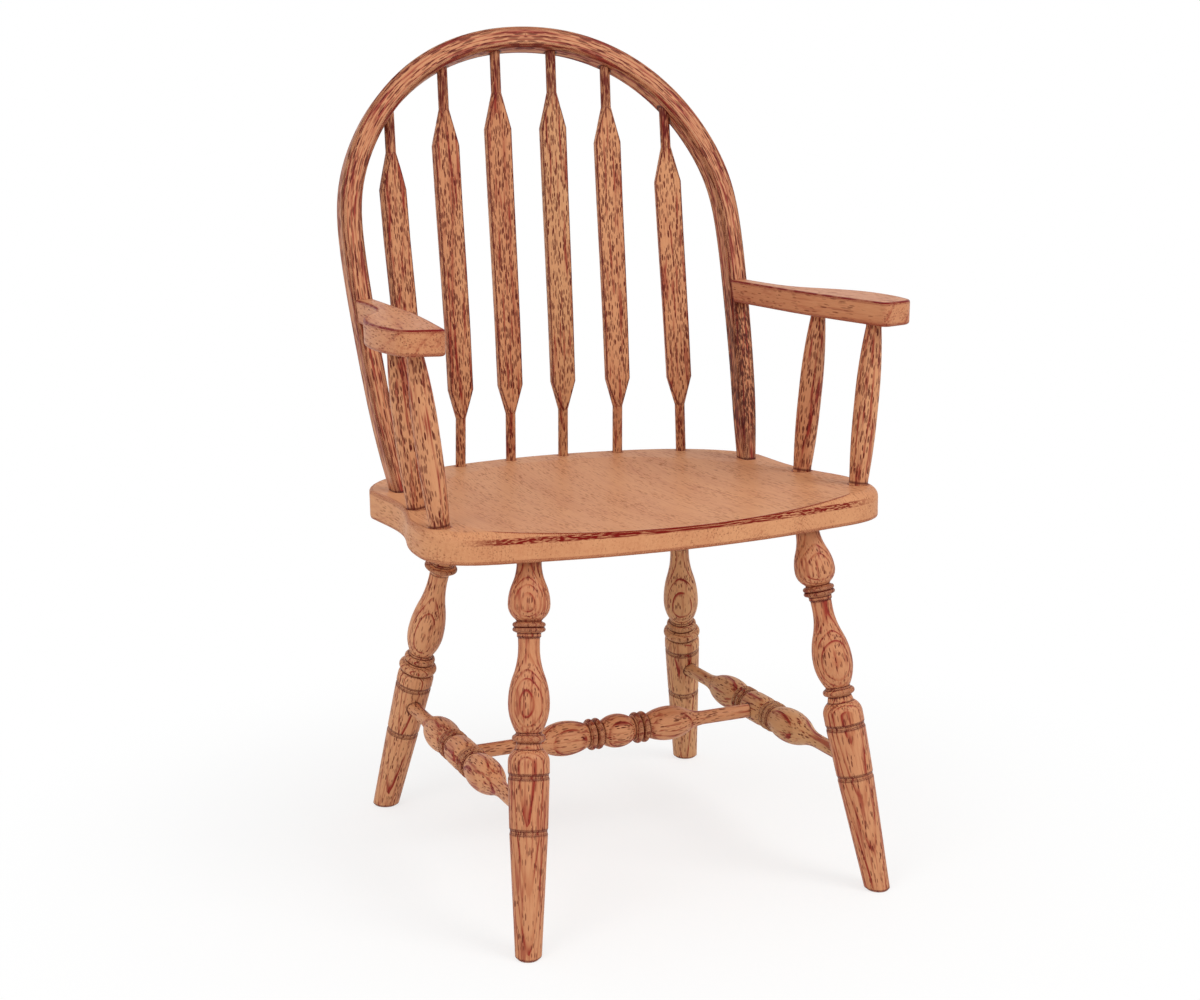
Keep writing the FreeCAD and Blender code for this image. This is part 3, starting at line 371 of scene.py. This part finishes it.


# The painted shade on the rolled front edge: its lower and upper border below the top of the seat, how softly
# they end, how far it goes to both sides and fades there, from which forward part of the normal it
# comes in, and the dashes that it is broken into.
lip_low = seat_top - 0.0138
lip_high = seat_top - 0.0072
lip_fade = 0.0008
lip_reach = 0.262
lip_corner = 0.06
lip_facing = (-0.25, -0.5)
lip_dashes = dict(size=(0.05, 0.0013, 0.0011), detail=1.0, levels=(0.38, 0.52), shares=(0.15, 1.0))


def painted_lip_shade(tree):
    """Painted shade on the rolled front edge: a strip of heights, on what faces forward.

    It is the product of a ramp over the lower border, one under the upper border, one of the
    normal's forward part, and one that ends it near both corners, broken into long dashes.
    """
    place = add(tree, "TexCoord", {}, {}).outputs["Object"]
    axes = add(tree, "SeparateXYZ", {}, {"Vector": place})
    over = add(tree, "MapRange", smooth, {"Value": axes.outputs["Z"], "From Min": lip_low - lip_fade,
                                          "From Max": lip_low + lip_fade}).outputs["Result"]
    under = add(tree, "MapRange", smooth, {"Value": axes.outputs["Z"], "From Min": lip_high + lip_fade,
                                           "From Max": lip_high - lip_fade}).outputs["Result"]
    normal = add(tree, "NewGeometry", {}, {}).outputs["Normal"]
    back = add(tree, "SeparateXYZ", {}, {"Vector": normal}).outputs["Y"]
    facing = add(tree, "MapRange", {}, {"Value": back, "From Min": lip_facing[0],
                                        "From Max": lip_facing[1]}).outputs["Result"]
    side = add(tree, "Math", {"operation": "ABSOLUTE"}, {0: axes.outputs["X"]}).outputs[0]
    middle = add(tree, "MapRange", smooth, {"Value": side, "From Min": lip_reach,
                                            "From Max": lip_reach - lip_corner}).outputs["Result"]
    return broken_shade_and_stain(tree, place, (over, under, facing, middle), **lip_dashes)


# Red oak, sanded and wiped: an even honey brown with faint short pores and hardly any rings.
# Painted shade lies along its rounded edges and on the rolled front edge.
finish("seat", oak("seat oak", straight(seat_middle, (0, 1, 0)), heart=(0.11, 0.05), pores=0.36, tone=-0.05,
                   rings=0.15, streaks=0.15, pore_size=(0.0017, 0.012), cloud_width=0.03, sparse=0.0,
                   inked=0.42, turn_width=0.004, more_shade_and_stain=painted_lip_shade, stain=painted_edge_shade_colour, gloss=0.05))


# The legs.
# Four turned legs of oak, splayed, each with a round tenon in the underside of the seat. They are cut
# flat to the rings, so the lathe lays the rings open as ovals on every swelling.

corners = [(row, side) for row in ("front", "rear") for side in ("left", "right")]
turned_ring_gap = 0.0036
# The rings are cut flat on the side that is turned to the front left.
flat_side = Vector((-0.41, -0.91, 0.0))


def line_of(node):
    """The line that a long piece lies on: where it starts, and its direction.

    The direction is the one in which the piece's points spread most: the first right singular vector
    of the points less their mean. On a standing piece it points up. The line starts where the first
    of the points lies along it.
    """
    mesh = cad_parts[node].data
    points = np.empty(len(mesh.vertices) * 3)
    mesh.vertices.foreach_get("co", points)
    points = points.reshape(-1, 3)
    middle = points.mean(axis=0)
    way = np.linalg.svd(points - middle, full_matrices=False)[2][0]
    standing = abs(way[2]) > 0.5
    if standing:
        way = way * np.sign(way[2])
    start = middle + way * ((points - middle) @ way).min()
    return Vector(start), Vector(way)


def heart_behind(way, distance):
    """How far a blank lies from the middle of the tree, which stands behind its flat side."""
    return way.to_track_quat("Z", "Y").inverted() @ (flat_side * distance)


# Flat-sawn red oak, turned: ovals of red ring lines over open pores, and painted shade as dark lines in the
# grooves.
# A shadow band is its place along the leg, its half width and its strength: a painted shadow where the leg
# goes in under the seat.
# A leg is measured from the floor, where its sole is sawn level.
leg_looks = {"front": dict(shadow_band=(0.424, 0.01, 0.6), tone=0.14, streaks=0.75),
             "rear": dict(shadow_band=(0.432, 0.01, 0.6), tone=-0.5, streaks=0.5)}
for index, (row, side) in enumerate(corners):
    node = f"leg_{row}_{side}"
    start, way = line_of(node)
    sole = start - way * (start.z / way.z)
    finish(node, oak(f"turned oak of the {row} {side} leg", straight(sole, way),
                     heart=heart_behind(way, 0.05 + 0.0013 * index), log=1.3 * index, pores=0.34, rings=1.0,
                     ring_gap=turned_ring_gap, pore_size=(0.0016, 0.0085), turn_width=0.003,
                     faded=0.25 if node == "leg_rear_right" else 0.0, **leg_looks[row]))


# The stretchers.
# Three turned rails of oak in an H tie the legs: one from front to rear on each side, and one across.
# Their plain ends are glued into the legs and into each other.

# The same turned oak, with stronger red streaks. The right-hand rail is from a greyer board.
for index, node in enumerate(("side_stretcher_left", "side_stretcher_right", "cross_stretcher")):
    start, way = line_of(node)
    finish(node, oak(f"turned oak of the {node.replace('_', ' ')}", straight(start, way),
                     heart=heart_behind(way, 0.045), log=2.1 * index + 7.0, pores=0.36, rings=0.9,
                     streaks=0.85, ring_gap=turned_ring_gap, pore_size=(0.0017, 0.009), turn_width=0.003,
                     faded=0.35 if node == "side_stretcher_right" else 0.0))


# The bow.
# One strip of straight-grained oak, steamed and bent round a form, with its feet glued into the seat.
# Its grain follows the bend, so it is read along the arch instead of along a line.

bow_rake = math.radians(16.6)
bow_seat_y = 0.091
# Above this distance up the rake the strip is a half circle. Below it both legs draw in towards the
# feet, by this much times the square of the distance.
arch_start = 0.3
arch_radius = 0.2585
leg_draw = 0.24
# The right-hand leg is darker from near the seat up to the arm, by darker grain and by a painted
# shadow under the arm: how far from the chair's middle that begins, and the heights above the seat
# between which it comes and goes.
dark_side = (0.19, 0.2)
dark_comes = (seat_top + 0.005, seat_top + 0.05)
dark_goes = (seat_top + 0.25, seat_top + 0.18)
leg_dashes = dict(size=(0.0022, 0.0022, 0.012), detail=1.0, levels=(0.44, 0.58), shares=(0.0, 0.85))


def bent_space(tree):
    """Places on the bow as across, through and along the strip, as if it were straightened.

    Above the start of the arch the distance along is the angle times the radius, and the distance
    across is measured from the arch's centre. Below it they are the height, and the side with the
    draw of the legs added.
    """
    place = add(tree, "TexCoord", {}, {}).outputs["Object"]
    raked = add(tree, "Mapping", {"vector_type": "TEXTURE"},
                {"Vector": place, "Location": (0.0, bow_seat_y, seat_top),
                 "Rotation": (-bow_rake, 0.0, 0.0)}).outputs["Vector"]
    axes = add(tree, "SeparateXYZ", {}, {"Vector": raked})
    above = add(tree, "Math", {"operation": "SUBTRACT"}, {0: axes.outputs["Z"], 1: arch_start}).outputs[0]
    over = add(tree, "Math", {"operation": "MAXIMUM"}, {0: above, 1: 0.0}).outputs[0]
    under = add(tree, "Math", {"operation": "MINIMUM"}, {0: above, 1: 0.0}).outputs[0]
    side = add(tree, "Math", {"operation": "ABSOLUTE"}, {0: axes.outputs["X"]}).outputs[0]
    squares = add(tree, "Math", {"operation": "MULTIPLY"}, {0: over, 1: over}).outputs[0]
    square = add(tree, "Math", {"operation": "MULTIPLY_ADD"}, {0: side, 1: side, 2: squares}).outputs[0]
    reach = add(tree, "Math", {"operation": "SQRT"}, {0: square}).outputs[0]
    angle = add(tree, "Math", {"operation": "ARCTAN2"}, {0: over, 1: side}).outputs[0]
    along = add(tree, "Math", {"operation": "MULTIPLY_ADD"}, {0: angle, 1: arch_radius, 2: under}).outputs[0]
    drawn = add(tree, "Math", {"operation": "MULTIPLY"}, {0: under, 1: under}).outputs[0]
    across = add(tree, "Math", {"operation": "MULTIPLY_ADD"}, {0: drawn, 1: leg_draw, 2: reach}).outputs[0]
    centred = add(tree, "Math", {"operation": "SUBTRACT"}, {0: across, 1: arch_radius}).outputs[0]
    return add(tree, "CombineXYZ", {}, {"X": centred, "Y": axes.outputs["Y"], "Z": along}).outputs["Vector"]


def dark_leg(tree):
    """The darker grain of the bow's right-hand leg, with a painted shadow under the arm.

    It is the product of a ramp from the middle to the right and two ramps of heights, broken into
    dashes.
    """
    place = add(tree, "TexCoord", {}, {}).outputs["Object"]
    axes = add(tree, "SeparateXYZ", {}, {"Vector": place})
    right = add(tree, "MapRange", {}, {"Value": axes.outputs["X"], "From Min": dark_side[0],
                                       "From Max": dark_side[1]}).outputs["Result"]
    heights = [add(tree, "MapRange", smooth, {"Value": axes.outputs["Z"], "From Min": bare,
                                              "From Max": full}).outputs["Result"]
               for bare, full in (dark_goes, dark_comes)]
    return broken_shade_and_stain(tree, place, (right, *heights), **leg_dashes)


# Straight-grained oak, steam-bent: long dark pores that run round the arch between strong ring lines.
# Painted shade lies along its edges, and a painted shadow on the right-hand leg under the arm.
finish("bow", oak("bent oak", bent_space, heart=(0.16, 0.05), pores=0.75, tone=0.1, rings=1.4, streaks=1.1,
                  pore_size=(0.0019, 0.016), turn_width=0.005, more_shade_and_stain=dark_leg, stain="#400d09"))


# The spindles.
# Six arrow spindles of oak, turned, then planed flat in front and behind and bent to the sitter's
# back. Their thin ends are glued into the bow and the seat.

blade_pores = (1.15, 1.5, 1.05, 0.95, 1.0, 0.95)
# The stain of the upper neck comes between these distances below the spindle's top.
neck_comes = (0.085, 0.045)
neck_dashes = dict(size=(0.002, 0.002, 0.02), detail=1.0, levels=(0.42, 0.58), shares=(0.15, 0.9))


def dark_neck(top):
    """Makes the darker grain of a spindle's thin upper neck: a ramp of heights, broken into dashes."""
    def more_shade_and_stain(tree):
        place = add(tree, "TexCoord", {}, {}).outputs["Object"]
        height = add(tree, "SeparateXYZ", {}, {"Vector": place}).outputs["Z"]
        near = add(tree, "MapRange", smooth, {"Value": height, "From Min": top - neck_comes[0],
                                              "From Max": top - neck_comes[1]}).outputs["Result"]
        return broken_shade_and_stain(tree, place, (near,), **neck_dashes)

    return more_shade_and_stain


# Planed oak: dense short pores on the flats, which make the blades the busiest wood of the chair.
# Painted shade darkens the edges of the flats and the turns of the necks.
for number, pores in enumerate(blade_pores, 1):
    node = f"spindle_{number}"
    start, way = line_of(node)
    neck_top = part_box(node)[1].z
    finish(node, oak(f"planed oak of spindle {number}", straight(start, way),
                     heart=(0.012 * number - 0.045, 0.05), log=3.7 * number, pores=pores, tone=0.05,
                     rings=0.4, streaks=0.95, pore_size=(0.002, 0.0095), turn_width=0.003,
                     more_shade_and_stain=dark_neck(neck_top), stain="#5c100c", faded=0.15 if number == 4 else 0.0))


# The arm posts.
# Two turned posts of oak under each arm, swelling in the middle. A round tenon at each end is glued
# into the seat or the arm.

# Turned oak: dense dark dashes along the post, and a dark ring of painted shadow where it meets the seat.
for index, (row, side) in enumerate(corners):
    node = f"arm_post_{row}_{side}"
    start, way = line_of(node)
    finish(node, oak(f"turned oak of the {row} {side} arm post", straight(start, way),
                     heart=(0.04, 0.01 * index), log=1.9 * index + 20.0, pores=0.75, tone=0.05, rings=0.4,
                     streaks=1.0, pore_size=(0.002, 0.0095), shadow_band=(0.0205, 0.0025, 0.95)))


# The arms.
# Two flat boards of oak, band-sawn to a paddle and rounded over, with the grain from back to front.
# Each sits on its two posts and is screwed to the bow from behind.

# The painted shade on the rounded edges is broken into patches about 17 mm across.
edge_patch = 1 / 60
edge_patches = dict(size=(edge_patch, edge_patch, edge_patch), detail=2.0, levels=(0.35, 0.5),
                    shares=(0.35, 1.0))
# The rounded edge, as the upward part of its normal: from the upright side, and from the flat top, it
# runs from where nothing is painted in shade to where all is.
edge_below = (0.25, 0.4)
edge_above = (0.97, 0.9)


def painted_edge_shade(tree):
    """Painted shade on the rounded edges, on what faces neither straight up nor straight out."""
    normal = add(tree, "NewGeometry", {}, {}).outputs["Normal"]
    up = add(tree, "SeparateXYZ", {}, {"Vector": normal}).outputs["Z"]
    slopes = [add(tree, "MapRange", {}, {"Value": up, "From Min": bare, "From Max": full}).outputs["Result"]
              for bare, full in (edge_below, edge_above)]
    place = add(tree, "TexCoord", {}, {}).outputs["Object"]
    return broken_shade_and_stain(tree, place, slopes, **edge_patches)


# Flat-sawn oak, worn smooth by hands: pale and even, with painted shade along the rounded edges.
for index, side in enumerate(("left", "right")):
    node = f"arm_{side}"
    start, way = line_of(node)
    finish(node, oak(f"sawn oak of the {side} arm", straight(start, way), heart=(0.05, 0.04),
                     log=5.3 * index + 30.0, pores=0.28, tone=0.25, rings=0.3, streaks=0.35,
                     pore_size=(0.0017, 0.012), inked=0.7, turn_width=0.004, more_shade_and_stain=painted_edge_shade,
                     stain=painted_edge_shade_colour, gloss=0.12))


# The screws and their plugs.
# A zinc-plated wood screw holds each arm from behind the bow, and an oak plug, glued in, covers its
# head.

# Stained oak: two small brown discs with a few pores that run upwards.
plug_row = (0.0, 0.16, 0.65)
finish("arm_plugs", oak("end grain oak of the plugs", straight(plug_row, (0, 0, 1)), heart=(0.05, 0.02)))

# Zinc plate: a cold light grey with a soft shine.
zinc = bpy.data.materials.new("zinc-plated steel")
tree = empty_tree(zinc)
skin = add(tree, "BsdfPrincipled", {}, {"Base Color": linear("#b9bbbd"), "Metallic": 1.0, "Roughness": 0.35})
add(tree, "OutputMaterial", {}, {"Surface": skin.outputs["BSDF"]})
finish("arm_screws", zinc)


# The studio.
# A pale paper floor that goes over into a white background, two soft lamps, and the camera where the
# photograph was taken from.

floor_reach = 6.0
# From the chair's middle the floor turns from mostly white to all white between these distances, so
# that it keeps the shadow under the chair.
white_near = 0.1
white_far = 0.9
white_least = 0.65
soft_light = 0.7
pure_white = (1.0, 1.0, 1.0, 1.0)


def straight_looks(tree):
    """1 for a ray that looks at a surface from the camera, by a mirror or through glass, and else 0."""
    ray = add(tree, "LightPath", {}, {})
    seen = add(tree, "Math", {"operation": "MAXIMUM"},
               {0: ray.outputs["Is Camera Ray"], 1: ray.outputs["Is Glossy Ray"]}).outputs[0]
    return add(tree, "Math", {"operation": "MAXIMUM"},
               {0: seen, 1: ray.outputs["Is Transmission Ray"]}).outputs[0]


floor_mesh = bpy.data.meshes.new("floor")
floor_mesh.from_pydata([(-floor_reach, -floor_reach, 0), (floor_reach, -floor_reach, 0),
                        (floor_reach, floor_reach, 0), (-floor_reach, floor_reach, 0)], [], [(0, 1, 2, 3)])
floor = bpy.data.objects.new("floor", floor_mesh)
bpy.context.collection.objects.link(floor)

# Matt white paper: it takes the soft shadow and melts into the background.
paper = bpy.data.materials.new("pale paper floor")
tree = empty_tree(paper)
place = add(tree, "TexCoord", {}, {}).outputs["Object"]
away = add(tree, "VectorMath", {"operation": "LENGTH"}, {0: place}).outputs["Value"]
far = add(tree, "MapRange", smooth, {"Value": away, "From Min": white_near, "From Max": white_far,
                                     "To Min": white_least}).outputs["Result"]
white_share = add(tree, "Math", {"operation": "MULTIPLY"}, {0: far, 1: straight_looks(tree)}).outputs[0]
lit = add(tree, "BsdfDiffuse", {}, {"Color": linear("#f7f7f6")})
white = add(tree, "Emission", {}, {"Color": pure_white, "Strength": 1.0})
both = add(tree, "MixShader", {}, {0: white_share, 1: lit.outputs[0], 2: white.outputs[0]})
add(tree, "OutputMaterial", {}, {"Surface": both.outputs[0]})
floor_mesh.materials.append(paper)

# The room's light is soft and even, and is seen as plain white.
world = bpy.data.worlds.new("studio")
bpy.context.scene.world = world
tree = empty_tree(world)
soft = add(tree, "Background", {}, {"Color": pure_white, "Strength": soft_light})
white = add(tree, "Background", {}, {"Color": pure_white, "Strength": 1.0})
both = add(tree, "MixShader", {}, {0: straight_looks(tree), 1: soft.outputs[0], 2: white.outputs[0]})
add(tree, "OutputWorld", {}, {"Surface": both.outputs[0]})

# Two round lamps, each with its place and its power in watts, turned to the middle of the seat.
lamp_width = 1.8
lamp_aim = Vector((0.0, 0.0, seat_top))
for name, spot, power in (("lamp above the front right", Vector((1.6, -2.2, 3.0)), 48.0),
                          ("lamp above the left", Vector((-2.2, -1.4, 2.2)), 23.0)):
    lamp = bpy.data.lights.new(name, "AREA")
    lamp.shape = "DISK"
    lamp.size = lamp_width
    lamp.energy = power
    hung = bpy.data.objects.new(name, lamp)
    hung.location = spot
    hung.rotation_euler = (lamp_aim - spot).to_track_quat("-Z", "Y").to_euler()
    bpy.context.collection.objects.link(hung)

# The camera stands 2 m in front of the chair's middle, to its left, and 0.8 m above the floor.
camera_place = Vector((-0.82386, -1.81699, 0.82185))
camera_aim = Vector((0.023463, 0.435, 0.355461))
camera_roll = math.radians(-1.517)
sensor_width_mm = 36.0
lens_mm = 50.895
framing_shift = 0.0833
far_clip = 50.0

lens = bpy.data.cameras.new("camera")
lens.sensor_fit = "HORIZONTAL"
lens.sensor_width = sensor_width_mm
lens.lens = lens_mm
lens.shift_x = framing_shift
lens.clip_end = far_clip
camera = bpy.data.objects.new("camera", lens)
turn = (camera_aim - camera_place).to_track_quat("-Z", "Y") @ Euler((0, 0, camera_roll)).to_quaternion()
camera.location = camera_place
camera.rotation_euler = turn.to_euler()
bpy.context.collection.objects.link(camera)
bpy.context.scene.camera = camera
bpy.context.scene.view_settings.view_transform = "Standard"
